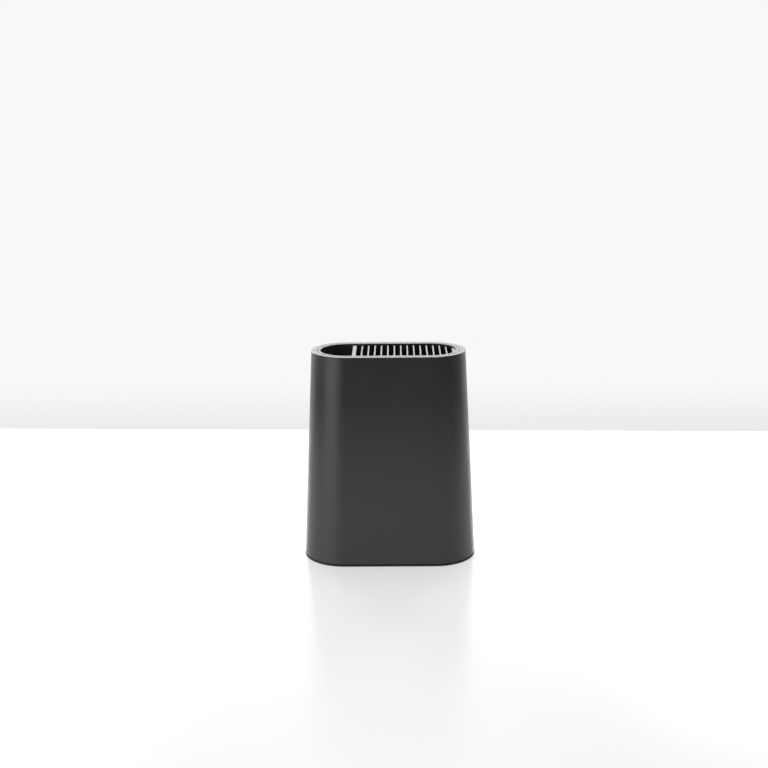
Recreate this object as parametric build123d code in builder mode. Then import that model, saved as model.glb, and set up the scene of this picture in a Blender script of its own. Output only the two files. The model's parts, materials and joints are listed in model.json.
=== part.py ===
from build123d import *

import os
from math import cos, radians, sin, sqrt

# Knife block: a tapered obround housing with a lift-out cassette of blade dividers and an open utensil bay.
# Millimetres. Origin on the worktop under the middle of the base, +Z up, X along the block, -Y the front.

# ---- housing: driving dimensions
overall_height = 221.0
base_length = 180.0
base_depth = 86.0
top_length = 158.5
top_depth = 75.8
foot_gap = 1.8  # the housing's lower edge clears the worktop by this much
shell_wall = 2.8
rim_width = 6.2  # flat land round the mouth
rim_thickness = 3.2
rim_outer_round = 0.5
rim_inner_round = 0.35
shell_foot_round = 0.7

# ---- base plate, feet and screws
plate_bottom = 2.2
plate_top = 5.2
plate_side_gap = 0.25
locating_ring_height = 7.0
locating_ring_wall = 1.8
locating_gap = 0.5
boss_angle = 60.0  # degrees from the X axis, round the centre of each end
boss_inset = 7.0
boss_radius = 4.4
boss_height = 16.0
pilot_radius = 1.25
pilot_depth = 13.0
screw_clearance_radius = 1.7
screw_shank_radius = 1.45
screw_length = 11.0
screw_tip_chamfer = 0.9
screw_head_radius = 2.7
screw_head_height = 1.6
screw_head_chamfer = 0.5
drive_depth = 0.9
drive_width = 0.7
drive_length = 3.2
head_pocket_radius = 3.0
head_pocket_depth = 1.7
foot_x = 54.0
foot_y = 22.0
foot_radius = 9.5
foot_pocket_radius = 9.8
foot_pocket_depth = 0.7
foot_stem_radius = 2.4
foot_hole_radius = 2.5
foot_barb_radius = 3.1
foot_barb_height = 1.4
foot_barb_chamfer = 1.0
foot_edge_chamfer = 0.6
foot_tread_radius = 5.0  # middle of the shallow ring moulded into the tread
foot_tread_width = 1.0
foot_tread_depth = 0.5
vent_width = 3.4
vent_length = 22.0

# ---- cassette: driving dimensions
lift_gap = 0.45  # between the cassette and the housing's land
cassette_wall = 2.75
grille_recess = 1.3  # the dividers' tops lie this far below the rim
collar_height = 14.0
joint_overlap = 6.0  # how far the collar and the floor reach over the sleeve
spigot_wall = 1.7
joint_gap = 0.05
floor_skirt = 2.0
floor_thickness = 2.5
groove_depth = 1.0
floor_groove = 0.8
divider_count = 14
divider_thickness = 1.7
divider_pitch = 6.67
divider_clearance = 0.05
divider_edge_round = 0.45
bay_bar_left = -37.0
bay_bar_right = -33.0
bay_corner_radius = 2.0
partition_thickness = 2.4
partition_tongue = 3.0  # the partition reaches this far up into the collar's bar
end_plate_thickness = 3.0
drain_width = 2.6
drain_length = 16.0
catch_x = 25.0
catch_length = 8.0
catch_height = 1.8
catch_rise = 0.5
catch_side_play = 0.2
catch_end_play = 0.3

# ---- worked out from the above
top_radius = top_depth / 2
half_straight = (top_length - top_depth) / 2  # the cassette's straight sides reach this far each way
land_radius = top_radius - rim_width
cassette_radius = land_radius - lift_gap
inside_radius = cassette_radius - cassette_wall
spigot_radius = inside_radius + spigot_wall
groove_radius = inside_radius + groove_depth
grille_top = overall_height - grille_recess
collar_bottom = overall_height - collar_height
sleeve_bottom = plate_top + floor_skirt + floor_thickness
divider_bottom = sleeve_bottom - floor_groove
slot_width = divider_pitch - divider_thickness
slots_length = divider_count * divider_pitch + slot_width
slots_right = bay_bar_right + slots_length
divider_places = [
    bay_bar_right + slot_width + divider_thickness / 2 + i * divider_pitch for i in range(divider_count)
]
slot_middles = [(x - divider_pitch / 2, 0) for x in divider_places]
partition_middle = (bay_bar_left + bay_bar_right) / 2
partition_top = collar_bottom + partition_tongue
far = 200.0  # longer than any piece, for trimming outlines


def housing_outline(z, inset=0.0):
    """Length and depth of the tapered housing's outline at height z, drawn in by inset."""
    share = (z - foot_gap) / (overall_height - foot_gap)
    length = base_length + share * (top_length - base_length)
    depth = base_depth + share * (top_depth - base_depth)
    return length - 2 * inset, depth - 2 * inset


def cassette_outline(radius):
    """Length and depth of an obround that shares the cassette's end centres."""
    return 2 * (half_straight + radius), 2 * radius


def groove_half(x):
    """Half the depth, along Y, of a divider's groove at x: it stays inside the groove radius at the ends."""
    past_end = max(0.0, x + divider_thickness / 2 + divider_clearance - half_straight)
    return sqrt(groove_radius**2 - past_end**2)


def boss_places():
    """Centres of the four screw bosses, round the ends of the base."""
    end_centre = (base_length - base_depth) / 2
    ring = base_depth / 2 - boss_inset
    return [
        (sx * (end_centre + ring * cos(radians(boss_angle))), sy * ring * sin(radians(boss_angle)))
        for sx in (-1, 1)
        for sy in (-1, 1)
    ]


foot_places = {
    "front_left": (-foot_x, -foot_y),
    "front_right": (foot_x, -foot_y),
    "back_left": (-foot_x, foot_y),
    "back_right": (foot_x, foot_y),
}
catch_places = [(x, side) for x in (-catch_x, catch_x) for side in (-1, 1)]


def save(piece, name):
    """Labels a finished piece and writes it as a node of its own."""
    piece.part.label = name
    export_step(piece.part, f"parts/{name}.step")


def make_outer_shell():
    """Tapered housing wall with its inward land at the mouth and four screw bosses at the base."""
    cavity_top = overall_height - rim_thickness
    with BuildPart() as shell:
        with BuildSketch(Plane.XY.offset(foot_gap)):
            SlotOverall(*housing_outline(foot_gap))
        with BuildSketch(Plane.XY.offset(overall_height)):
            SlotOverall(*housing_outline(overall_height))
        loft(ruled=True)
        fillet(shell.faces().sort_by(Axis.Z)[-1].edges(), rim_outer_round)
        fillet(shell.faces().sort_by(Axis.Z)[0].edges(), shell_foot_round)
        with BuildSketch(Plane.XY.offset(foot_gap)):
            SlotOverall(*housing_outline(foot_gap, shell_wall))
        with BuildSketch(Plane.XY.offset(cavity_top)):
            SlotOverall(*housing_outline(cavity_top, shell_wall))
        loft(ruled=True, mode=Mode.SUBTRACT)
        with BuildSketch(Plane.XY.offset(cavity_top)):
            SlotOverall(*cassette_outline(land_radius))
        extrude(amount=rim_thickness, mode=Mode.SUBTRACT)
        mouth = shell.faces().filter_by(Axis.Z).sort_by(Axis.Z)[-1].inner_wires()
        fillet(mouth.edges(), rim_inner_round)
        with BuildSketch(Plane.XY.offset(plate_top)):
            with Locations(*boss_places()):
                Circle(boss_radius)
        extrude(amount=boss_height)
        with BuildSketch(Plane.XY.offset(plate_top)):
            with Locations(*boss_places()):
                Circle(pilot_radius)
        extrude(amount=pilot_depth, mode=Mode.SUBTRACT)
    save(shell, "outer_shell")


def make_base_plate():
    """Closes the housing from below, and its upstand holds the cassette's foot in the middle."""
    ring_inner = cassette_radius + locating_gap
    with BuildPart() as plate:
        with BuildSketch(Plane.XY.offset(plate_bottom)):
            SlotOverall(*housing_outline(plate_top, shell_wall + plate_side_gap))
        extrude(amount=plate_top - plate_bottom)
        with BuildSketch(Plane.XY.offset(plate_top)):
            SlotOverall(*cassette_outline(ring_inner + locating_ring_wall))
            SlotOverall(*cassette_outline(ring_inner), mode=Mode.SUBTRACT)
        extrude(amount=locating_ring_height)
        lead_in = plate.faces().filter_by(Axis.Z).sort_by(Axis.Z)[-1].inner_wires()
        chamfer(lead_in.edges(), locating_ring_wall / 2)
        with Locations(Plane.XY.offset(plate_bottom).rotated((180, 0, 0))):
            with Locations(*boss_places()):
                CounterBoreHole(screw_clearance_radius, head_pocket_radius, head_pocket_depth)
        with BuildSketch(Plane.XY.offset(plate_bottom)):
            with Locations(*foot_places.values()):
                Circle(foot_pocket_radius)
        extrude(amount=foot_pocket_depth, mode=Mode.SUBTRACT)
        with BuildSketch(Plane.XY.offset(plate_bottom)):
            with Locations(*foot_places.values()):
                Circle(foot_hole_radius)
        extrude(amount=plate_top - plate_bottom, mode=Mode.SUBTRACT)
        with BuildSketch(Plane.XY.offset(plate_bottom)):
            with Locations(*slot_middles[::2]):
                SlotOverall(vent_length, vent_width, rotation=90)
        extrude(amount=plate_top - plate_bottom, mode=Mode.SUBTRACT)
    save(plate, "base_plate")


def make_base_screws():
    """Four pan-head self-tapping screws, heads down in the plate's pockets."""
    shank_bottom = plate_bottom + head_pocket_depth
    head_bottom = shank_bottom - screw_head_height
    with BuildPart() as screws:
        with BuildSketch(Plane.XY.offset(head_bottom)):
            with Locations(*boss_places()):
                Circle(screw_head_radius)
        extrude(amount=screw_head_height)
        chamfer(screws.faces().filter_by(Axis.Z).group_by(Axis.Z)[0].edges(), screw_head_chamfer)
        with BuildSketch(Plane.XY.offset(shank_bottom)):
            with Locations(*boss_places()):
                Circle(screw_shank_radius)
        extrude(amount=screw_length)
        chamfer(screws.faces().filter_by(Axis.Z).group_by(Axis.Z)[-1].edges(), screw_tip_chamfer)
        with BuildSketch(Plane.XY.offset(head_bottom)):
            with Locations(*boss_places()):
                Rectangle(drive_length, drive_width)
                Rectangle(drive_width, drive_length)
        extrude(amount=drive_depth, mode=Mode.SUBTRACT)
    save(screws, "base_screws")


def make_foot(corner, x, y):
    """Rubber foot: a pad in the plate's pocket and a barbed stem pushed up through its hole."""
    pad_top = plate_bottom + foot_pocket_depth
    with BuildPart() as foot:
        with BuildSketch():
            with Locations((x, y)):
                Circle(foot_radius)
        extrude(amount=pad_top)
        chamfer(foot.faces().sort_by(Axis.Z)[0].edges(), foot_edge_chamfer)
        with BuildSketch():
            with Locations((x, y)):
                Circle(foot_tread_radius + foot_tread_width / 2)
                Circle(foot_tread_radius - foot_tread_width / 2, mode=Mode.SUBTRACT)
        extrude(amount=foot_tread_depth, mode=Mode.SUBTRACT)
        with BuildSketch(Plane.XY.offset(pad_top)):
            with Locations((x, y)):
                Circle(foot_stem_radius)
        extrude(amount=plate_top - pad_top)
        with BuildSketch(Plane.XY.offset(plate_top)):
            with Locations((x, y)):
                Circle(foot_barb_radius)
        extrude(amount=foot_barb_height)
        chamfer(foot.faces().sort_by(Axis.Z)[-1].edges(), foot_barb_chamfer)
    save(foot, f"foot_{corner}")


def groove_cutter(bottom, top):
    """Tool that cuts the grooves of the fourteen dividers from bottom to top."""
    with BuildPart() as cutter:
        for x in divider_places:
            with BuildSketch(Plane.XY.offset(bottom)):
                with Locations((x, 0)):
                    Rectangle(divider_thickness + 2 * divider_clearance, 2 * groove_half(x))
        extrude(amount=top - bottom)
    return cutter.part


def partition_cutter(bottom, top):
    """Tool that cuts the groove of the wall between the utensil bay and the knife slots."""
    with BuildPart() as cutter:
        with BuildSketch(Plane.XY.offset(bottom)):
            with Locations((partition_middle, 0)):
                Rectangle(partition_thickness + 2 * divider_clearance, 2 * groove_radius)
        extrude(amount=top - bottom)
    return cutter.part


def window_cutter(middle):
    """Tool that cuts the four windows that the sleeve's snap catches click into."""
    window_height = catch_height + 2 * catch_end_play
    with BuildPart() as cutter:
        with BuildSketch(Plane.XY.offset(middle - window_height / 2)):
            with Locations(*[(x, side * (spigot_radius + cassette_radius) / 2) for x, side in catch_places]):
                Rectangle(catch_length + 2 * catch_side_play, 2 * (cassette_radius - spigot_radius))
        extrude(amount=window_height)
    return cutter.part


def make_insert_collar():
    """Top frame of the cassette: raised border, bar beside the bay, end plate and divider grooves."""
    skirt_bottom = collar_bottom - joint_overlap
    divider_grooves = groove_cutter(collar_bottom, grille_top + divider_clearance)
    partition_groove = partition_cutter(collar_bottom, partition_top + divider_clearance)
    catch_windows = window_cutter(collar_bottom - joint_overlap / 2)
    with BuildPart() as collar:
        with BuildSketch(Plane.XY.offset(skirt_bottom)):
            SlotOverall(*cassette_outline(cassette_radius))
        extrude(amount=overall_height - skirt_bottom)
        fillet(collar.faces().sort_by(Axis.Z)[-1].edges(), rim_inner_round)
        with BuildSketch(Plane.XY.offset(skirt_bottom)):
            SlotOverall(*cassette_outline(spigot_radius + joint_gap))
        extrude(amount=joint_overlap, mode=Mode.SUBTRACT)
        with BuildSketch(Plane.XY.offset(collar_bottom)) as bay:
            SlotOverall(*cassette_outline(inside_radius))
            with Locations((bay_bar_left, 0)):
                Rectangle(far, far, align=(Align.MAX, Align.CENTER), mode=Mode.INTERSECT)
            fillet(bay.vertices().group_by(Axis.X)[-1], bay_corner_radius)
        extrude(amount=collar_height, mode=Mode.SUBTRACT)
        with BuildSketch(Plane.XY.offset(collar_bottom)):
            SlotOverall(*cassette_outline(inside_radius))
            with Locations((bay_bar_right, 0)):
                Rectangle(slots_length, far, align=(Align.MIN, Align.CENTER), mode=Mode.INTERSECT)
        extrude(amount=collar_height, mode=Mode.SUBTRACT)
        with BuildSketch(Plane.XY.offset(grille_top)):
            SlotOverall(*cassette_outline(inside_radius))
            with Locations((bay_bar_left, 0)):
                Rectangle(far, far, align=(Align.MIN, Align.CENTER), mode=Mode.INTERSECT)
        extrude(amount=grille_recess, mode=Mode.SUBTRACT)
        with BuildSketch(Plane.XY.offset(collar_bottom)):
            SlotOverall(*cassette_outline(inside_radius))
            with Locations((slots_right, 0)):
                Rectangle(far, far, align=(Align.MIN, Align.CENTER), mode=Mode.INTERSECT)
        extrude(amount=grille_top - end_plate_thickness - collar_bottom, mode=Mode.SUBTRACT)
        add(divider_grooves, mode=Mode.SUBTRACT)
        add(partition_groove, mode=Mode.SUBTRACT)
        add(catch_windows, mode=Mode.SUBTRACT)
    save(collar, "insert_collar")


def make_insert_sleeve():
    """Obround tube with a groove for each edge of each divider and a snap spigot at both ends."""
    spigots = (sleeve_bottom, collar_bottom - joint_overlap)
    divider_grooves = groove_cutter(sleeve_bottom, collar_bottom)
    partition_groove = partition_cutter(sleeve_bottom, collar_bottom)
    with BuildPart() as sleeve:
        with BuildSketch(Plane.XY.offset(sleeve_bottom)):
            SlotOverall(*cassette_outline(cassette_radius))
            SlotOverall(*cassette_outline(inside_radius), mode=Mode.SUBTRACT)
        extrude(amount=collar_bottom - sleeve_bottom)
        for spigot_bottom in spigots:
            with BuildSketch(Plane.XY.offset(spigot_bottom)):
                SlotOverall(*cassette_outline(cassette_radius + 1))
                SlotOverall(*cassette_outline(spigot_radius), mode=Mode.SUBTRACT)
            extrude(amount=joint_overlap, mode=Mode.SUBTRACT)
            with BuildSketch(Plane.XY.offset(spigot_bottom + (joint_overlap - catch_height) / 2)):
                with Locations(*[(x, side * spigot_radius) for x, side in catch_places]):
                    Rectangle(catch_length, 2 * catch_rise)
            extrude(amount=catch_height)
        add(divider_grooves, mode=Mode.SUBTRACT)
        add(partition_groove, mode=Mode.SUBTRACT)
    save(sleeve, "insert_sleeve")


def make_insert_floor():
    """Tray that closes the cassette's foot, with locating grooves for the dividers and drain slots."""
    floor_bottom = plate_top + floor_skirt
    bay_middle = (bay_bar_left - half_straight - inside_radius) / 2
    divider_grooves = groove_cutter(divider_bottom, sleeve_bottom)
    partition_groove = partition_cutter(divider_bottom, sleeve_bottom)
    catch_windows = window_cutter(sleeve_bottom + joint_overlap / 2)
    with BuildPart() as floor:
        with BuildSketch(Plane.XY.offset(plate_top)):
            SlotOverall(*cassette_outline(cassette_radius))
        extrude(amount=floor_skirt + floor_thickness + joint_overlap)
        with BuildSketch(Plane.XY.offset(plate_top)):
            SlotOverall(*cassette_outline(inside_radius))
        extrude(amount=floor_skirt, mode=Mode.SUBTRACT)
        with BuildSketch(Plane.XY.offset(sleeve_bottom)):
            SlotOverall(*cassette_outline(spigot_radius + joint_gap))
        extrude(amount=joint_overlap, mode=Mode.SUBTRACT)
        add(divider_grooves, mode=Mode.SUBTRACT)
        add(partition_groove, mode=Mode.SUBTRACT)
        with BuildSketch(Plane.XY.offset(floor_bottom)):
            with Locations(*slot_middles, (bay_middle - divider_pitch, 0), (bay_middle + divider_pitch, 0)):
                SlotOverall(drain_length, drain_width, rotation=90)
        extrude(amount=floor_thickness, mode=Mode.SUBTRACT)
        add(catch_windows, mode=Mode.SUBTRACT)
    save(floor, "insert_floor")


def make_panel(name, x, thickness, half_depth, top):
    """Upright plate across the cassette with rounded upper edges, standing in the floor's groove."""
    with BuildPart() as panel:
        with BuildSketch(Plane.XY.offset(divider_bottom)):
            with Locations((x, 0)):
                Rectangle(thickness, 2 * half_depth)
        extrude(amount=top - divider_bottom)
        fillet(panel.edges().filter_by(Axis.Y).group_by(Axis.Z)[-1], divider_edge_round)
    save(panel, name)


os.makedirs("parts", exist_ok=True)
make_outer_shell()
make_base_plate()
make_base_screws()
for corner, place in foot_places.items():
    make_foot(corner, *place)
make_insert_collar()
make_insert_sleeve()
make_insert_floor()
partition_half = groove_radius - 2 * divider_clearance
make_panel("bay_partition", partition_middle, partition_thickness, partition_half, partition_top)
for number, place in enumerate(divider_places, start=1):
    divider_half = groove_half(place) - 2 * divider_clearance
    make_panel(f"divider_{number:02d}", place, divider_thickness, divider_half, grille_top)
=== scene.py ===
import json
from math import atan2, ceil, cos, pi, radians, sin, sqrt, tan

import bmesh
import bpy
from mathutils import Matrix, Vector


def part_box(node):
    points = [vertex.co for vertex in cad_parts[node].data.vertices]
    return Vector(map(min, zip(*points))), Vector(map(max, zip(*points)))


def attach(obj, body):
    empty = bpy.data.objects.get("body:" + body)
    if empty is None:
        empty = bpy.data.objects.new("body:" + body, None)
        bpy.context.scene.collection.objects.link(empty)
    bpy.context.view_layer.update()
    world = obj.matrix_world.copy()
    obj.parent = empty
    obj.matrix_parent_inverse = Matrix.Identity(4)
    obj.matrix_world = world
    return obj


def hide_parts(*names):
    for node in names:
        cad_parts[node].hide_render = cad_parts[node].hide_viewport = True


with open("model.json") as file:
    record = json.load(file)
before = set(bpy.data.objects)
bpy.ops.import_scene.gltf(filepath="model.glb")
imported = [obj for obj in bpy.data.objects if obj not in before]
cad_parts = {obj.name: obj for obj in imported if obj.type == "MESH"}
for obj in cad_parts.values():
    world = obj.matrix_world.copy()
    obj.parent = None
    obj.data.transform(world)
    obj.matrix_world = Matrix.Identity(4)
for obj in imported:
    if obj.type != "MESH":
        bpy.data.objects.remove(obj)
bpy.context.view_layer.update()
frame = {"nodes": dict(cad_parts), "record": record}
mm = 0.001  # pieces are drawn in millimetres and turned to metres once, when the mesh is made
weldGap = 0.002  # mm; points nearer than this become one
hair = 0.01  # mm; keeps faces that would coincide apart
cutPast = 1  # mm; how far a cutting tool runs past the face it cuts
roundBend = 0.3  # where the middle point of a three-point round lies, as a share of its radius
print("frame loaded:", len(frame["nodes"]), "CAD nodes")

# Nodes and colours


def linearColour(hexCode):
    channels = [int(hexCode[i:i + 2], 16) / 255 for i in (1, 3, 5)]
    return [c / 12.92 if c <= 0.04045 else ((c + 0.055) / 1.055) ** 2.4 for c in channels] + [1.0]


def addNode(tree, kind, settings=None, links=None):  # a socket goes by its name or its number
    node = tree.nodes.new(kind)
    for name, value in (settings or {}).items():
        if isinstance(name, int) or name in node.inputs:
            node.inputs[name].default_value = value
        else:
            setattr(node, name, value)
    for name, source in (links or {}).items():
        tree.links.new(source, node.inputs[name])
    return node


def newMaterial(name):
    material = bpy.data.materials.new(name)
    material.use_nodes = True
    material.node_tree.nodes.clear()
    return material, material.node_tree


# Materials

housingFinish = {
    "darkSide": "#282828",  # charcoal masterbatch
    "lightSide": "#2c2c2c",
    "ior": 1.53,
    "roughnessLow": 0.29,
    "roughnessHigh": 0.34,
    "grainSize": 0.5,  # mm; the eroded grain is nearer 0.15, drawn coarser so that it shows
    "grainDepth": 0.045,  # mm
    "flowSize": 38.0,  # mm; the gloss drifts where the plastic flowed in the mould
}
insertFinish = {
    "darkSide": "#262626",
    "lightSide": "#2a2a2a",
    "ior": 1.53,
    "roughnessLow": 0.29,
    "roughnessHigh": 0.34,
    "grainSize": 0.45,
    "grainDepth": 0.03,
    "flowSize": 24.0,
}
rubberFinish = {
    "darkSide": "#161616",
    "lightSide": "#1f1f1e",
    "ior": 1.52,
    "roughnessLow": 0.72,
    "roughnessHigh": 0.86,
    "grainSize": 0.35,
    "grainDepth": 0.02,
    "flowSize": 6.0,
}
screwFinish = {
    "darkSide": "#a9adb2",
    "lightSide": "#c3c6c8",
    "roughnessLow": 0.24,
    "roughnessHigh": 0.38,
    "grainSize": 0.12,
    "grainDepth": 0.002,
    "flowSize": 1.6,  # mm; clouding of the plating
}
flowRange = (0.3, 0.7)  # the part of the noise's range that the flow pattern fills


def grainAndFlow(tree, look):
    place = addNode(tree, "ShaderNodeTexCoord").outputs["Object"]
    grain = addNode(tree, "ShaderNodeTexNoise", {"Scale": 1 / (look["grainSize"] * mm), "Detail": 3.0},
                    {"Vector": place})
    flow = addNode(tree, "ShaderNodeTexNoise", {"Scale": 1 / (look["flowSize"] * mm), "Detail": 4.0},
                   {"Vector": place})
    colour = addNode(tree, "ShaderNodeMix", {"data_type": "RGBA", 6: linearColour(look["darkSide"]),
                     7: linearColour(look["lightSide"])}, {0: flow.outputs["Fac"]})
    gloss = addNode(tree, "ShaderNodeMapRange", {"From Min": flowRange[0], "From Max": flowRange[1],
                    "To Min": look["roughnessLow"], "To Max": look["roughnessHigh"]},
                    {"Value": flow.outputs["Fac"]})
    bump = addNode(tree, "ShaderNodeBump", {"Distance": look["grainDepth"] * mm},
                   {"Height": grain.outputs["Fac"]})
    return colour.outputs[2], gloss.outputs["Result"], bump.outputs["Normal"]


def mouldedPlastic(name, look):
    material, tree = newMaterial(name)
    colour, gloss, normal = grainAndFlow(tree, look)
    surface = addNode(tree, "ShaderNodeBsdfPrincipled", {"IOR": look["ior"]},
                      {"Base Color": colour, "Roughness": gloss, "Normal": normal})
    addNode(tree, "ShaderNodeOutputMaterial", links={"Surface": surface.outputs["BSDF"]})
    return material


def platedSteel(name, look):
    material, tree = newMaterial(name)
    colour, gloss, normal = grainAndFlow(tree, look)
    surface = addNode(tree, "ShaderNodeBsdfPrincipled", {"Metallic": 1.0},
                      {"Base Color": colour, "Roughness": gloss, "Normal": normal})
    addNode(tree, "ShaderNodeOutputMaterial", links={"Surface": surface.outputs["BSDF"]})
    return material


# spark-eroded moulded ABS: even charcoal, fine soft grain, satin sheen that drifts a little
housingAbs = mouldedPlastic("sparkErodedMouldedAbs", housingFinish)
# fine-textured moulded ABS: a shade darker than the housing, its grain finer and shallower
insertAbs = mouldedPlastic("fineTexturedMouldedAbs", insertFinish)
# compression-moulded rubber: near black, dull, slightly pitted
footRubber = mouldedPlastic("compressionMouldedRubber", rubberFinish)
# zinc-plated steel: pale grey metal with a faint cloudy sheen
screwSteel = platedSteel("zincPlatedSteel", screwFinish)
nodeMaterials = {"housing_abs": housingAbs, "insert_abs": insertAbs, "foot_rubber": footRubber,
                 "screw_steel": screwSteel}
for part in frame["record"]["subparts"]:
    mesh = frame["nodes"][part["node"]].data
    mesh.materials.clear()
    mesh.materials.append(nodeMaterials[part["material_slot"]])
print("materials made:", len(nodeMaterials))

# Shapes


def obroundLoop(halfStraight, radius, z, arcSteps=40, straightSteps=12):  # a circle when halfStraight is 0
    loop = []
    for side in (1, -1):
        for k in range(arcSteps):
            angle = radians(180 * k / arcSteps - 90)
            loop.append((side * (halfStraight + radius * cos(angle)), side * radius * sin(angle), z))
        for k in range(straightSteps):
            loop.append((side * halfStraight * (1 - 2 * k / straightSteps), side * radius, z))
    return loop


def roundedProfile(corners, closed=True, steps=4, longest=12.0):
    # corners are (half straight, radius, z, rounding); a rounded corner becomes an arc, a long run is divided
    points = []
    count = len(corners)
    for i, corner in enumerate(corners):
        here = Vector(corner[:3])
        if corner[3] == 0 or not closed and i in (0, count - 1):
            points.append(here)
            continue
        toLast = (Vector(corners[i - 1][:3]) - here).normalized()
        toNext = (Vector(corners[(i + 1) % count][:3]) - here).normalized()
        half = toLast.angle(toNext) / 2
        centre = here + (toLast + toNext).normalized() * corner[3] / sin(half)
        first = here + toLast * corner[3] / tan(half) - centre
        last = here + toNext * corner[3] / tan(half) - centre
        for k in range(steps + 1):
            points.append(centre + first.slerp(last, k / steps).normalized() * corner[3])
    divided = []
    for i, point in enumerate(points):
        divided.append(point)
        if closed or i + 1 < len(points):
            run = points[(i + 1) % len(points)] - point
            pieces = ceil(run.length / longest)
            divided += [point + run * k / pieces for k in range(1, pieces)]
    return divided


def weld(mesh):  # closes up points that fall together and faces with no area
    shape = bmesh.new()
    shape.from_mesh(mesh)
    bmesh.ops.remove_doubles(shape, verts=shape.verts, dist=weldGap * mm)
    bmesh.ops.dissolve_degenerate(shape, edges=shape.edges, dist=weldGap / 2 * mm)
    bmesh.ops.recalc_face_normals(shape, faces=shape.faces)
    shape.to_mesh(mesh)
    shape.free()


def meshFrom(points, faces, name):
    mesh = bpy.data.meshes.new(name)
    mesh.from_pydata([Vector(p) * mm for p in points], [], faces)
    weld(mesh)
    piece = bpy.data.objects.new(name, mesh)
    bpy.context.scene.collection.objects.link(piece)
    return piece


def skin(name, loops, closed=False, capped=False):  # joins each loop of points to the next by faces
    count = len(loops[0])
    faces = []
    for i in range(len(loops) if closed else len(loops) - 1):
        a, b = i * count, (i + 1) % len(loops) * count
        faces += [(a + k, a + (k + 1) % count, b + (k + 1) % count, b + k) for k in range(count)]
    if capped:
        faces += [tuple(range(count)), tuple(range(len(loops) * count - count, len(loops) * count))]
    return meshFrom([p for loop in loops for p in loop], faces, name)


def obroundPiece(name, corners, closed=True, **steps):  # a profile carried round the obround
    return skin(name, [obroundLoop(*p) for p in roundedProfile(corners, closed, **steps)], closed)


def turnedPiece(name, corners, centre=(0, 0), arcSteps=24, **steps):
    # corners are (radius, z, rounding), turned about an upright axis
    profile = roundedProfile([(0, *corner) for corner in corners], False, **steps)
    loops = [obroundLoop(*p, arcSteps, 0) for p in profile]
    return skin(name, [[(x + centre[0], y + centre[1], z) for x, y, z in loop] for loop in loops])


def softSection(low, high, rounds, inset, steps):  # a rectangle whose lower and upper corners are rounded
    points = []
    for i, (sideX, sideZ) in enumerate(((-1, -1), (1, -1), (1, 1), (-1, 1))):
        rounding = max(rounds[sideZ > 0] - inset, hair)
        x = (high[0] - inset - rounding) if sideX > 0 else (low[0] + inset + rounding)
        z = (high[1] - inset - rounding) if sideZ > 0 else (low[1] + inset + rounding)
        for k in range(steps + 1):
            angle = radians(180 + 90 * (i + k / steps))
            points.append((x + rounding * cos(angle), z + rounding * sin(angle)))
    return points


def softBlock(name, low, high, edge, top=None, steps=3):  # a block along Y; its long upper edges can differ
    rounds = (edge, top or edge)
    loops = []
    for k in range(-steps, steps + 1):
        angle = radians(90 * k / steps)
        inset = edge * (1 - cos(angle))
        past = edge * sin(abs(angle))
        if k < 0:
            places = [low[1] + edge - past]
        elif k > 0:
            places = [high[1] - edge + past]
        else:
            places = [low[1] + edge, (low[1] + high[1]) / 2, high[1] - edge]
        for y in places:
            section = softSection((low[0], low[2]), (high[0], high[2]), rounds, inset, steps)
            loops.append([(x, y, z) for x, z in section])
    return skin(name, loops, capped=True)


def slotTool(centre, length, width, bottom, top, flare=0.3):  # an obround along Y with rounded mouths
    half = (length - width) / 2
    bend = flare * roundBend
    levels = [(bottom - cutPast, flare), (bottom, flare), (bottom + bend, bend), (bottom + flare, 0),
              (top - flare, 0), (top - bend, bend), (top, flare), (top + cutPast, flare)]
    loops = []
    for z, grow in levels:
        loop = obroundLoop(half, width / 2 + grow, z, arcSteps=12, straightSteps=2)
        loops.append([(centre[0] - y, centre[1] + x, z) for x, y, z in loop])
    return skin("slotTool", loops, capped=True)


def blockTool(low, high):
    corners = [(low[0], low[1]), (high[0], low[1]), (high[0], high[1]), (low[0], high[1])]
    return skin("blockTool", [[(x, y, z) for x, y in corners] for z in (low[2], high[2])], capped=True)


def joined(name, pieces):
    shape = bmesh.new()
    for piece in pieces:
        shape.from_mesh(piece.data)
        bpy.data.objects.remove(piece)
    mesh = bpy.data.meshes.new(name)
    shape.to_mesh(mesh)
    shape.free()
    whole = bpy.data.objects.new(name, mesh)
    bpy.context.scene.collection.objects.link(whole)
    return whole


def settle(piece):  # writes the modifiers' result into the mesh
    graph = bpy.context.evaluated_depsgraph_get()
    piece.data = bpy.data.meshes.new_from_object(piece.evaluated_get(graph))
    piece.modifiers.clear()


def combine(piece, tools, operation):
    tool = joined("tool", tools)
    change = piece.modifiers.new("combine", "BOOLEAN")
    change.operation = operation
    change.solver = "EXACT"
    change.object = tool
    settle(piece)
    weld(piece.data)
    bpy.data.objects.remove(tool)


shading = {
    "sharpAbove": 35,  # degrees between two faces
    "largeFaceWeight": 60,  # how far the large faces rule the shading, so that flats look flat
}


def finishPiece(piece, body, node, slot):
    for face in piece.data.polygons:
        face.use_smooth = True
    piece.data.set_sharp_from_angle(angle=radians(shading["sharpAbove"]))
    weights = piece.modifiers.new("weights", "WEIGHTED_NORMAL")
    weights.keep_sharp = True
    weights.weight = shading["largeFaceWeight"]
    settle(piece)
    piece.data.materials.clear()
    piece.data.materials.append(nodeMaterials[slot])
    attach(piece, body)
    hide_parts(node)


def extent(node):  # lowest and highest corner of a CAD node, in millimetres
    return [Vector(corner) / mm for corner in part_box(node)]


def pieceName(node):  # divider_01 becomes Divider01
    return "".join(word.capitalize() for word in node.split("_"))


# Sizes that pieces share, from the frame

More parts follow.
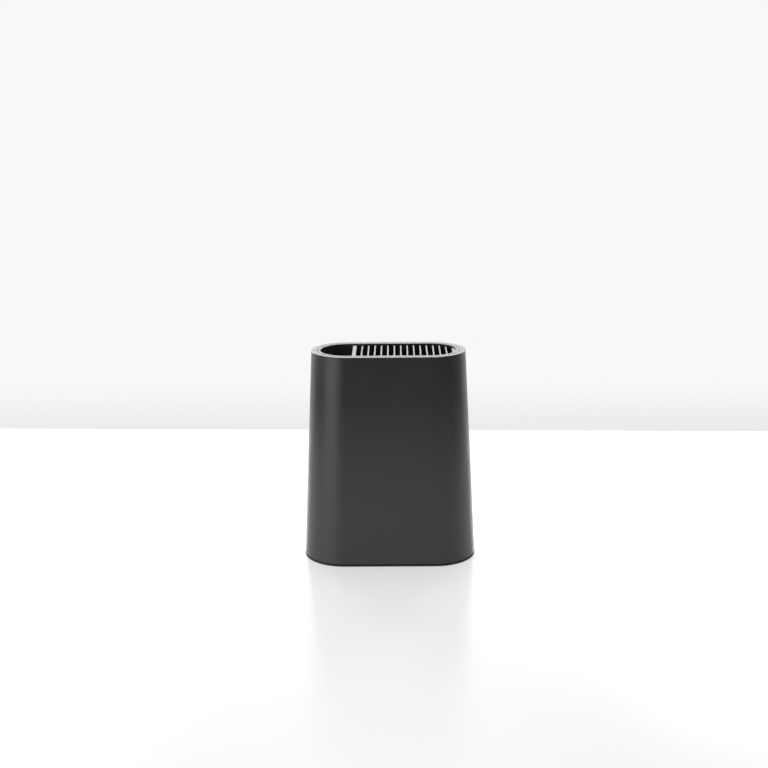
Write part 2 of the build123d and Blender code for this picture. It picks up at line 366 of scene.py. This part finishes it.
collarLow, collarHigh = extent("insert_collar")
insertRadius = (collarHigh.y - collarLow.y) / 2
halfStraight = (collarHigh.x - collarLow.x) / 2 - insertRadius
rimTop = collarHigh.z
sleeveLow, sleeveHigh = extent("insert_sleeve")
floorLow, floorHigh = extent("insert_floor")
plateLow, plateHigh = extent("base_plate")
shellLow = extent("outer_shell")[0]
dividers = sorted(n for n in frame["nodes"] if n.startswith("divider"))
dividerBoxes = [extent(n) for n in dividers]
dividerMiddles = [(low.x + high.x) / 2 for low, high in dividerBoxes]
pitch = (dividerMiddles[-1] - dividerMiddles[0]) / (len(dividers) - 1)
slotMiddles = [x - pitch / 2 for x in dividerMiddles]  # of the slots to the left of each divider
grilleTop = dividerBoxes[0][1].z

insert = {
    "wall": 2.75,
    "spigot": 1.7,  # wall left where the collar and the floor slip over the sleeve
    "slip": 0.05,
    "rimRound": 0.4,
    "mouthRound": 0.25,
    "seamRound": 0.25,  # the small round at each joint, so that the seam reads as a fine line
    "innerRound": 0.2,
    "slipCornerRound": 0.1,
    "slipMouthRound": 0.15,
    "grooveSlack": 0.05,
    "catchAt": 25.0,
    "catchLength": 8.0,
    "catchHeight": 1.8,
    "catchRise": 0.5,
    "catchRoot": 0.5,  # how far a catch or its window runs into the sleeve's wall
    "catchRound": 0.25,
    "windowPlayAlong": 0.2,
    "windowPlayUp": 0.3,
}
insideRadius = insertRadius - insert["wall"]
spigotRadius = insideRadius + insert["spigot"]
slipRadius = spigotRadius + insert["slip"]


def divideGrooves(bottom, top):  # tools for the grooves that hold the dividers and the partition
    slack = insert["grooveSlack"]
    tools = []
    for node in dividers + ["bay_partition"]:
        low, high = extent(node)
        tools.append(blockTool((low.x - slack, low.y - 2 * slack, bottom),
                               (high.x + slack, high.y + 2 * slack, min(top, high.z + slack))))
    return tools


def catchBlocks(z, growX, growZ, outer):  # four on the straight sides, for the catches or their windows
    halfX = insert["catchLength"] / 2 + growX
    halfZ = insert["catchHeight"] / 2 + growZ
    inner = spigotRadius - insert["catchRoot"]
    blocks = []
    for x in (-insert["catchAt"], insert["catchAt"]):
        for near, far in ((inner, outer), (-outer, -inner)):
            blocks.append(((x - halfX, near, z - halfZ), (x + halfX, far, z + halfZ)))
    return blocks


def catchWindows(z):  # tools for the windows that the catches snap into
    blocks = catchBlocks(z, insert["windowPlayAlong"], insert["windowPlayUp"], insertRadius + cutPast)
    return [blockTool(*block) for block in blocks]


# Housing

shell = {
    "baseHalfStraight": 47.0,
    "baseRadius": 43.0,
    "topRadius": 37.9,
    "wall": 2.8,
    "rimWidth": 6.2,
    "rimThickness": 3.2,
    "rimRound": 0.5,
    "mouthRound": 0.45,
    "landUnderRound": 0.2,
    "shoulderRound": 1.2,  # where the wall turns in under the rim
    "footRound": 0.7,
    "innerFootRound": 0.3,
    "bossAngle": 60.0,  # degrees round the end from the X axis
    "bossInset": 7.0,
    "bossRadius": 4.4,
    "bossHeight": 16.0,
    "bossFootRound": 0.2,
    "bossTopRound": 0.6,
    "pilotRadius": 1.25,
    "pilotDepth": 13.0,
    "pilotTip": 0.5,
}


def shellRadii(z, inset):  # half straight and radius of the tapered housing at height z
    share = (z - shellLow.z) / (rimTop - shellLow.z)
    straight = shell["baseHalfStraight"] + share * (halfStraight - shell["baseHalfStraight"])
    return straight, shell["baseRadius"] + share * (shell["topRadius"] - shell["baseRadius"]) - inset


def bossPlaces():
    ring = shell["baseRadius"] - shell["bossInset"]
    angle = radians(shell["bossAngle"])
    return [(sx * (shell["baseHalfStraight"] + ring * cos(angle)), sy * ring * sin(angle))
            for sx in (-1, 1) for sy in (-1, 1)]


def makeOuterShell():
    landBottom = rimTop - shell["rimThickness"]
    landRadius = shell["topRadius"] - shell["rimWidth"]
    plateTop = floorLow.z
    outer = obroundPiece("outerShell", [
        (*shellRadii(shellLow.z, 0), shellLow.z, shell["footRound"]),
        (*shellRadii(rimTop, 0), rimTop, shell["rimRound"]),
        (halfStraight, landRadius, rimTop, shell["mouthRound"]),
        (halfStraight, landRadius, landBottom, shell["landUnderRound"]),
        (*shellRadii(landBottom, shell["wall"]), landBottom, shell["shoulderRound"]),
        (*shellRadii(shellLow.z, shell["wall"]), shellLow.z, shell["innerFootRound"])], steps=5)
    bossRadius, bossTop = shell["bossRadius"], plateTop + shell["bossHeight"]
    pilotRadius, pilotTop = shell["pilotRadius"], plateTop + shell["pilotDepth"]
    bosses = []
    pilots = []
    for place in bossPlaces():
        bosses.append(turnedPiece("boss", [
            (0, plateTop, 0), (bossRadius, plateTop, shell["bossFootRound"]),
            (bossRadius, bossTop, shell["bossTopRound"]), (0, bossTop, 0)], place, arcSteps=20, steps=2))
        pilots.append(turnedPiece("pilot", [
            (0, plateTop - cutPast, 0), (pilotRadius, plateTop - cutPast, 0),
            (pilotRadius, pilotTop, 0), (0, pilotTop + shell["pilotTip"], 0)], place, arcSteps=12))
    combine(outer, bosses, "UNION")
    combine(outer, pilots, "DIFFERENCE")
    finishPiece(outer, "housing", "outer_shell", "housing_abs")


makeOuterShell()

basePlate = {
    "thickness": 3.0,
    "sideGap": 0.25,
    "ringGap": 0.5,
    "ringWall": 1.8,
    "ringFootRound": 0.3,
    "ringInnerRound": 0.15,
    "ringOuterRound": 0.2,
    "leadIn": 0.9,
    "leadInRound": 0.3,
    "headPocketRadius": 3.0,
    "headPocketDepth": 1.7,
    "screwHoleRadius": 1.7,
    "footPocketRadius": 9.8,
    "footPocketDepth": 0.7,
    "footHoleRadius": 2.5,
    "pocketChamfer": 0.2,
    "holeChamfer": 0.1,
    "ventLength": 22.0,
    "ventWidth": 3.4,
    "edgeRound": 0.35,
}
feet = sorted(n for n in frame["nodes"] if n.startswith("foot_"))


def footCentre(node):
    low, high = extent(node)
    return (low.x + high.x) / 2, (low.y + high.y) / 2


def steppedHole(place, wide, depth, narrow, bottom, top):  # a pocket with a hole through its middle
    mouth, lip = basePlate["pocketChamfer"], basePlate["holeChamfer"]
    pocketFloor = bottom + depth
    return turnedPiece("hole", [
        (0, bottom - cutPast, 0), (wide + mouth, bottom - cutPast, 0), (wide + mouth, bottom, 0),
        (wide, bottom + mouth, 0), (wide, pocketFloor, lip), (narrow + lip, pocketFloor, 0),
        (narrow, pocketFloor + lip, 0), (narrow, top + cutPast, 0), (0, top + cutPast, 0)], place, steps=2)


def makeBasePlate():
    look = basePlate
    bottom, top = plateLow.z, plateLow.z + look["thickness"]
    straight, radius = shellRadii(top, shell["wall"] + look["sideGap"])
    inner = insertRadius + look["ringGap"]
    outer = inner + look["ringWall"]
    ringTop = plateHigh.z
    soft = look["edgeRound"]
    plate = obroundPiece("basePlate", [
        (halfStraight, 0, top, 0), (halfStraight, inner, top, look["ringFootRound"]),
        (halfStraight, inner, ringTop - look["leadIn"], look["leadInRound"]),
        (halfStraight, inner + look["leadIn"], ringTop, look["ringInnerRound"]),
        (halfStraight, outer, ringTop, look["ringOuterRound"]),
        (halfStraight, outer, top, look["ringFootRound"]),
        (straight, radius, top, soft), (straight, radius, bottom, soft), (halfStraight, 0, bottom, 0)],
        closed=False, steps=3)
    tools = [steppedHole(place, look["headPocketRadius"], look["headPocketDepth"],
                         look["screwHoleRadius"], bottom, top) for place in bossPlaces()]
    tools += [steppedHole(footCentre(n), look["footPocketRadius"], look["footPocketDepth"],
                          look["footHoleRadius"], bottom, top) for n in feet]
    tools += [slotTool((x, 0), look["ventLength"], look["ventWidth"], bottom, top) for x in slotMiddles[::2]]
    combine(plate, tools, "DIFFERENCE")
    finishPiece(plate, "housing", "base_plate", "housing_abs")


makeBasePlate()

foot = {
    "edgeRound": 0.6,
    "padDraft": 0.2,
    "padTopRound": 0.25,
    "treadRadius": 5.0,
    "treadWidth": 1.0,
    "treadDepth": 0.5,
    "treadEdgeRound": 0.2,
    "treadFloorRound": 0.15,
    "stemRadius": 2.4,
    "stemRound": 0.1,
    "barbRadius": 3.1,
    "barbTaper": 1.0,
    "barbRound": 0.15,
    "barbTopRound": 0.2,
}


def makeFoot(node):
    low, high = extent(node)
    radius = (high.x - low.x) / 2
    padTop = plateLow.z + basePlate["footPocketDepth"]
    stem, stemTop = foot["stemRadius"], plateLow.z + basePlate["thickness"]
    near = foot["treadRadius"] - foot["treadWidth"] / 2
    far = foot["treadRadius"] + foot["treadWidth"] / 2
    groove = foot["treadDepth"]
    pad = turnedPiece(pieceName(node), [
        (0, 0, 0), (near, 0, foot["treadEdgeRound"]), (near, groove, foot["treadFloorRound"]),
        (far, groove, foot["treadFloorRound"]), (far, 0, foot["treadEdgeRound"]),
        (radius - foot["padDraft"], 0, foot["edgeRound"]), (radius, padTop, foot["padTopRound"]),
        (stem, padTop, foot["stemRound"]), (stem, stemTop, foot["stemRound"]),
        (foot["barbRadius"], stemTop, foot["barbRound"]),
        (foot["barbRadius"] - foot["barbTaper"], high.z, foot["barbTopRound"]),
        (0, high.z, 0)], footCentre(node), arcSteps=32, steps=3)
    finishPiece(pad, "housing", node, "foot_rubber")


for footNode in feet:
    makeFoot(footNode)

screw = {
    "arcSteps": 16,
    "headRadius": 2.7,
    "headHeight": 1.6,
    "headDome": (0.45, 0.75),  # how far in and how far up the head's edge slopes
    "headDomeRound": 0.5,
    "headRimRound": 0.15,
    "shankRadius": 1.45,
    "threadDepth": 0.32,
    "threadPitch": 1.2,
    "rowsPerTurn": 10,
    "runOut": 0.4,
    "tipLength": 1.4,
    "tipShare": 0.2,  # of the shank's radius, left at the tip
    "driveLength": 3.2,
    "driveWidth": 0.7,
    "driveDepth": 0.9,
}


def threadLoops(bottom, top):  # the thread starts under the head and runs to the tapered tip
    rows = ceil((top - bottom) / screw["threadPitch"] * screw["rowsPerTurn"])
    steps = 2 * screw["arcSteps"]
    loops = []
    for j in range(1, rows):
        z = bottom + (top - bottom) * j / rows
        start = min(1.0, (z - bottom) / screw["runOut"])
        taper = min(1.0, max(screw["tipShare"], (top - z) / screw["tipLength"]))
        loop = []
        for k in range(steps):
            phase = ((z - bottom) / screw["threadPitch"] + k / steps) % 1
            crest = max(0.0, 1 - abs(phase - 0.5) * 4) * start  # a ridge over the middle half of each pitch
            radius = (screw["shankRadius"] - screw["threadDepth"] * (1 - crest)) * taper
            angle = 2 * pi * k / steps - pi / 2
            loop.append((radius * cos(angle), radius * sin(angle), z))
        loops.append(loop)
    return loops + [[(0, 0, top)] * steps]


def makeScrews():
    low, high = extent("base_screws")
    headTop = low.z + screw["headHeight"]
    wide = screw["headRadius"]
    core = screw["shankRadius"] - screw["threadDepth"]
    domeIn, domeUp = screw["headDome"]
    head = roundedProfile([
        (0, 0, low.z, 0), (0, wide - domeIn, low.z, screw["headDomeRound"]),
        (0, wide, low.z + domeUp, screw["headDomeRound"]), (0, wide, headTop, screw["headRimRound"]),
        (0, core, headTop, 0)], closed=False)
    loops = [obroundLoop(*p, screw["arcSteps"], 0) for p in head] + threadLoops(headTop, high.z)
    half, slim = screw["driveLength"] / 2, screw["driveWidth"] / 2
    drive = low.z + screw["driveDepth"]
    screws = []
    for x, y in bossPlaces():
        fastener = skin("screw", [[(px + x, py + y, pz) for px, py, pz in loop] for loop in loops])
        for reachX, reachY in ((half, slim), (slim, half)):  # the two arms of the cross drive
            arm = blockTool((x - reachX, y - reachY, low.z - cutPast), (x + reachX, y + reachY, drive))
            combine(fastener, [arm], "DIFFERENCE")
        screws.append(fastener)
    finishPiece(joined("baseScrews", screws), "housing", "base_screws", "screw_steel")


makeScrews()
print("housing built: shell, base plate,", len(feet), "feet,", len(bossPlaces()), "screws")

# Lift-out insert

collar = {
    "barLeft": -37.0,
    "barRight": -33.0,
    "barRound": 0.5,
    "barUnderRound": 0.3,
    "bayCornerRadius": 2.0,
    "endPlateThickness": 3.0,
    "endPlateRound": 0.45,
    "reach": 0.8,  # how far the bar and the end plate run into the wall
}


def makeBar(bottom, top):  # beside the bay, flaring into the wall at the bay's rounded corners
    flare = collar["bayCornerRadius"]
    straight = insideRadius - flare
    straightSteps, cornerSteps = 4, 8
    half = [straight * k / straightSteps for k in range(straightSteps + 1)]
    half += [straight + flare * sin(radians(90 * k / cornerSteps)) for k in range(1, cornerSteps + 1)]
    half.append(insideRadius + collar["reach"])
    rounds = (collar["barUnderRound"], collar["barRound"])
    loops = []
    for y in [-y for y in half[:0:-1]] + half:
        past = min(max(abs(y) - straight, 0), flare)
        left = collar["barLeft"] - (flare - sqrt(flare ** 2 - past ** 2))
        section = softSection((left, bottom), (collar["barRight"], top), rounds, 0, 4)
        loops.append([(x, y, z) for x, z in section])
    return skin("bar", loops, capped=True)


def makeEndPlate(top):  # fills the curved end past the last slot
    halfSlot = slotMiddles[-1] - dividerBoxes[-2][1].x
    edge = slotMiddles[-1] + pitch + halfSlot
    bottom = top - collar["endPlateThickness"]
    soft = collar["endPlateRound"]
    bend = roundBend * soft
    reach = insideRadius + collar["reach"]
    levels = [(bottom, soft), (bottom + bend, bend), (bottom + soft, 0)]
    for turn in (0, 30, 60, 90):
        levels.append((top - soft * (1 - sin(radians(turn))), soft * (1 - cos(radians(turn)))))
    spanSteps, arcSteps = 12, 24
    loops = []
    for z, inset in levels:
        x = edge + inset
        past = x - halfStraight
        spread = sqrt(reach ** 2 - past ** 2)
        span = [(x, spread * (1 - 2 * k / spanSteps)) for k in range(spanSteps)]
        wide = atan2(spread, past)
        turns = [wide * (2 * k / arcSteps - 1) for k in range(arcSteps)]
        arc = [(halfStraight + reach * cos(turn), reach * sin(turn)) for turn in turns]
        loops.append([(px, py, z) for px, py in span + arc])
    return skin("endPlate", loops, capped=True)


def makeCollar():
    bottom, seam = collarLow.z, sleeveHigh.z
    soft = insert["seamRound"]
    frameRing = obroundPiece("insertCollar", [
        (halfStraight, insertRadius, bottom, soft), (halfStraight, insertRadius, rimTop, insert["rimRound"]),
        (halfStraight, insideRadius, rimTop, insert["mouthRound"]),
        (halfStraight, insideRadius, seam, insert["innerRound"]),
        (halfStraight, slipRadius, seam, insert["slipCornerRound"]),
        (halfStraight, slipRadius, bottom, insert["slipMouthRound"])], steps=5)
    combine(frameRing, [makeBar(seam, grilleTop)], "UNION")
    combine(frameRing, [makeEndPlate(grilleTop)], "UNION")
    combine(frameRing, divideGrooves(seam - hair, rimTop), "DIFFERENCE")
    combine(frameRing, catchWindows((bottom + seam) / 2), "DIFFERENCE")
    finishPiece(frameRing, "insert", "insert_collar", "insert_abs")


makeCollar()

sleeve = {
    "topRound": 0.3,
    "longestFace": 16,  # mm; the long wall is divided into faces no longer than this
}


def makeSleeve():
    bottom, top = sleeveLow.z, sleeveHigh.z
    lowSeam, highSeam = floorHigh.z, collarLow.z
    soft, inner = insert["seamRound"], insert["innerRound"]
    tube = obroundPiece("insertSleeve", [
        (halfStraight, spigotRadius, bottom, inner), (halfStraight, spigotRadius, lowSeam, 0),
        (halfStraight, insertRadius, lowSeam, soft), (halfStraight, insertRadius, highSeam, soft),
        (halfStraight, spigotRadius, highSeam, 0), (halfStraight, spigotRadius, top, sleeve["topRound"]),
        (halfStraight, insideRadius, top, inner), (halfStraight, insideRadius, bottom, inner)],
        steps=3, longest=sleeve["longestFace"])
    catches = []
    for z in ((bottom + lowSeam) / 2, (highSeam + top) / 2):
        blocks = catchBlocks(z, 0, 0, spigotRadius + insert["catchRise"])
        catches += [softBlock("catch", *block, insert["catchRound"]) for block in blocks]
    combine(tube, catches, "UNION")
    combine(tube, divideGrooves(bottom - cutPast, top + cutPast), "DIFFERENCE")
    finishPiece(tube, "insert", "insert_sleeve", "insert_abs")


makeSleeve()

tray = {
    "thickness": 2.5,
    "standRound": 0.4,
    "standInnerRound": 0.3,
    "drainLength": 16.0,
    "drainWidth": 2.6,
}


def makeTray():
    bottom, top = floorLow.z, floorHigh.z
    floorTop = sleeveLow.z
    floorBottom = floorTop - tray["thickness"]
    innerRound = tray["standInnerRound"]
    cup = obroundPiece("insertFloor", [
        (halfStraight, 0, floorTop, 0), (halfStraight, slipRadius, floorTop, insert["slipCornerRound"]),
        (halfStraight, slipRadius, top, insert["slipMouthRound"]),
        (halfStraight, insertRadius, top, insert["seamRound"]),
        (halfStraight, insertRadius, bottom, tray["standRound"]),
        (halfStraight, insideRadius, bottom, innerRound),
        (halfStraight, insideRadius, floorBottom, innerRound),
        (halfStraight, 0, floorBottom, 0)], closed=False, steps=3)
    bayMiddle = (collar["barLeft"] - halfStraight - insideRadius) / 2
    drains = [(x, 0) for x in slotMiddles] + [(bayMiddle - pitch, 0), (bayMiddle + pitch, 0)]
    combine(cup, divideGrooves(dividerBoxes[0][0].z, floorTop + cutPast), "DIFFERENCE")
    combine(cup, [slotTool(place, tray["drainLength"], tray["drainWidth"], floorBottom, floorTop)
                  for place in drains], "DIFFERENCE")
    combine(cup, catchWindows((floorTop + top) / 2), "DIFFERENCE")
    finishPiece(cup, "insert", "insert_floor", "insert_abs")


makeTray()

plates = {
    "topRound": 0.45,
    "edgeRound": 0.2,
}
for node in dividers + ["bay_partition"]:
    plate = softBlock(pieceName(node), *extent(node), plates["edgeRound"], plates["topRound"])
    finishPiece(plate, "insert", node, "insert_abs")
print("insert built: collar, sleeve, floor, partition,", len(dividers), "dividers")

# Studio

studio = {  # lengths in metres where no note says otherwise
    "floorColour": "#bcbebd",
    "floorGlowColour": "#fffafc",
    "floorGlow": 0.43,
    "maskColour": "#747474",  # painted contact shade: the table is greyed, and its glow cut, under the block and just past its edge
    "maskPast": 0.8,  # mm; how far the painted shade runs past the block's lower edge
    "maskBlur": 0.8,  # mm; over which the painted shade's edge fades
    "floorRoughness": 0.22,
    "floorHaze": 0.02,  # how far the roughness drifts either way
    "floorHazeScale": 3.0,  # patches to the metre
    "floorSpecular": 0.12,
    "floorBack": 0.463,  # behind the block, where the table ends
    "floorBackTurn": 0.0325,  # its far edge comes this much nearer for each metre to the right
    "floorFront": 0.62,
    "floorSide": 0.66,
    "wallDistance": 3.0,
    "wallHalfWidth": 8,
    "wallFoot": -1.2,
    "wallTop": 3.4,
    "wallHighGlow": 0.94,
    "wallLowGlow": 0.84,
    "wallFadeFrom": -0.74,  # the height up to which the paper is dim, above the table's edge
    "wallFadeTo": -0.55,
}


def flatPanel(name, corners, material):
    mesh = bpy.data.meshes.new(name)
    mesh.from_pydata(corners, [], [range(4)])
    panel = bpy.data.objects.new(name, mesh)
    bpy.context.scene.collection.objects.link(panel)
    mesh.materials.append(material)


def lightTableAcrylic():  # opal cast acrylic lit from below: even white, soft shadows, a soft mirror image, and a painted shade under the block
    material, tree = newMaterial("opalCastAcrylic")
    place = addNode(tree, "ShaderNodeTexCoord").outputs["Object"]
    haze = addNode(tree, "ShaderNodeTexNoise", {"Scale": studio["floorHazeScale"], "Detail": 2.0},
                   {"Vector": place})
    gloss = addNode(tree, "ShaderNodeMapRange", {"To Min": studio["floorRoughness"] - studio["floorHaze"],
                    "To Max": studio["floorRoughness"] + studio["floorHaze"]}, {"Value": haze.outputs["Fac"]})
    # the distance from the obround's middle line, for the painted contact shade under the block
    quarter = addNode(tree, "ShaderNodeVectorMath", {"operation": "ABSOLUTE"}, {0: place})
    pastStraight = addNode(tree, "ShaderNodeVectorMath", {"operation": "SUBTRACT",
                           1: (shell["baseHalfStraight"] * mm, 0, 0)}, {0: quarter.outputs[0]})
    clear = addNode(tree, "ShaderNodeVectorMath", {"operation": "MAXIMUM"}, {0: pastStraight.outputs[0]})
    away = addNode(tree, "ShaderNodeVectorMath", {"operation": "LENGTH"}, {0: clear.outputs[0]})
    edge = (shell["baseRadius"] + studio["maskPast"]) * mm
    fade = addNode(tree, "ShaderNodeMapRange", {"From Min": edge - studio["maskBlur"] * mm, "From Max": edge},
                   {"Value": away.outputs["Value"]})
    # 0 under the block, where the table is painted grey and its glow is cut: painted shade; 1 past it
    unshaded = fade.outputs["Result"]
    glow = addNode(tree, "ShaderNodeMath", {"operation": "MULTIPLY", 1: studio["floorGlow"]}, {0: unshaded})
    colour = addNode(tree, "ShaderNodeMix", {"data_type": "RGBA", 6: linearColour(studio["maskColour"]),
                     7: linearColour(studio["floorColour"])}, {0: unshaded})
    surface = addNode(tree, "ShaderNodeBsdfPrincipled", {"Specular IOR Level": studio["floorSpecular"],
                      "Emission Color": linearColour(studio["floorGlowColour"])},
                      {"Base Color": colour.outputs[2], "Roughness": gloss.outputs["Result"],
                       "Emission Strength": glow.outputs[0]})
    addNode(tree, "ShaderNodeOutputMaterial", links={"Surface": surface.outputs["BSDF"]})
    return material


def glowingBackdrop():  # evenly lit white paper, a little dimmer low down
    material, tree = newMaterial("litBackdropPaper")
    place = addNode(tree, "ShaderNodeTexCoord").outputs["Object"]
    height = addNode(tree, "ShaderNodeSeparateXYZ", links={0: place}).outputs["Z"]
    glow = addNode(tree, "ShaderNodeMapRange", {"interpolation_type": "SMOOTHSTEP",
                   "From Min": studio["wallFadeFrom"], "From Max": studio["wallFadeTo"],
                   "To Min": studio["wallLowGlow"], "To Max": studio["wallHighGlow"]}, {"Value": height})
    light = addNode(tree, "ShaderNodeEmission", links={"Strength": glow.outputs["Result"]})
    addNode(tree, "ShaderNodeOutputMaterial", links={"Surface": light.outputs["Emission"]})
    return material


side, front, back = studio["floorSide"], studio["floorFront"], studio["floorBack"]
turn = studio["floorBackTurn"] * side
table = [(-side, -front, 0), (side, -front, 0), (side, back - turn, 0), (-side, back + turn, 0)]
flatPanel("lightTable", table, lightTableAcrylic())
away, wide = studio["wallDistance"], studio["wallHalfWidth"]
bottom, top = studio["wallFoot"], studio["wallTop"]
wall = [(-wide, away, bottom), (wide, away, bottom), (wide, away, top), (-wide, away, top)]
flatPanel("backdrop", wall, glowingBackdrop())

softboxes = {  # place and aim in metres, size across and up, radiant power in watts
    "overhead": {"place": (0.0, -0.2, 1.1), "aim": (0, -0.2, 0), "size": (1.0, 1.0), "watts": 7},
    "back": {"place": (0.0, 2.9, 1.2), "aim": (0, 0, 0.2), "size": (4.0, 0.8), "watts": 38},
    "backLeft": {"place": (-1.4, 2.9, 1.2), "aim": (0, 0, 0.2), "size": (1.2, 0.8), "watts": 42},
    "backRight": {"place": (1.4, 2.9, 1.2), "aim": (0, 0, 0.2), "size": (1.2, 0.8), "watts": 35},
    "left": {"place": (-1.8, 0.2, 0.6), "aim": (0, 0, 0.1), "size": (1.2, 1.2), "watts": 6},
    "right": {"place": (1.8, 0.2, 0.6), "aim": (0, 0, 0.1), "size": (1.2, 1.2), "watts": 5.5},
    "frontLeft": {"place": (-1.15, -1.0, 0.45), "aim": (0, 0, 0.1), "size": (1.3, 1.1), "watts": 11.3},
    "front": {"place": (0.0, -2.2, 1.2), "aim": (0, 0, 0.1), "size": (2.0, 1.0), "watts": 5},
}
for name, box in softboxes.items():
    lamp = bpy.data.lights.new(name, "AREA")
    lamp.shape = "RECTANGLE"
    lamp.size, lamp.size_y = box["size"]
    lamp.energy = box["watts"]
    softbox = bpy.data.objects.new(name, lamp)
    bpy.context.scene.collection.objects.link(softbox)
    softbox.location = box["place"]
    softbox.rotation_mode = "QUATERNION"
    softbox.rotation_quaternion = (Vector(box["aim"]) - Vector(box["place"])).to_track_quat("-Z", "Y")
    softbox.visible_camera = False

roomLight = {"seen": 0.94, "felt": 0.0}  # what the camera sees past the backdrop, and what lights the block
world = bpy.data.worlds.new("room")
bpy.context.scene.world = world
world.use_nodes = True
world.node_tree.nodes.clear()
rays = addNode(world.node_tree, "ShaderNodeLightPath")
level = addNode(world.node_tree, "ShaderNodeMapRange",
                {"To Min": roomLight["felt"], "To Max": roomLight["seen"]},
                {"Value": rays.outputs["Is Camera Ray"]})
room = addNode(world.node_tree, "ShaderNodeBackground", {"Color": (1, 1, 1, 1)},
               {"Strength": level.outputs["Result"]})
addNode(world.node_tree, "ShaderNodeOutputWorld", links={"Surface": room.outputs["Background"]})
print("studio lit:", len(softboxes), "softboxes")

# Camera

view = {  # lens and sensor in millimetres, distances in metres
    "lens": 56.09,
    "sensor": 36.0,
    "distance": 1.2387,
    "elevation": 14.03,  # degrees above the horizon
    "azimuth": 0.63,  # degrees round to the right
    "roll": 0.52,  # degrees, clockwise
    "aimLeft": 0.0048,
    "aimHeight": 0.1844,
    "nearest": 0.01,
    "farthest": 50,
}
swing, lift, roll = (radians(view[k]) for k in ("azimuth", "elevation", "roll"))
backward = Vector((sin(swing) * cos(lift), -cos(swing) * cos(lift), sin(lift)))
across = Vector((cos(swing), sin(swing), 0))
down = across.cross(backward)
right = across * cos(roll) + down * sin(roll)
up = across * sin(roll) - down * cos(roll)
aim = Vector((-view["aimLeft"], 0, view["aimHeight"]))
lens = bpy.data.cameras.new("camera")
lens.lens = view["lens"]
lens.sensor_width = view["sensor"]
lens.clip_start, lens.clip_end = view["nearest"], view["farthest"]
camera = bpy.data.objects.new("camera", lens)
bpy.context.scene.collection.objects.link(camera)
camera.matrix_world = Matrix.Translation(aim + backward * view["distance"]) @ Matrix(
    (right, up, backward)).transposed().to_4x4()
bpy.context.scene.camera = camera
bpy.context.scene.view_settings.view_transform = "Standard"
print("camera placed:", view["distance"], "m from its aim")
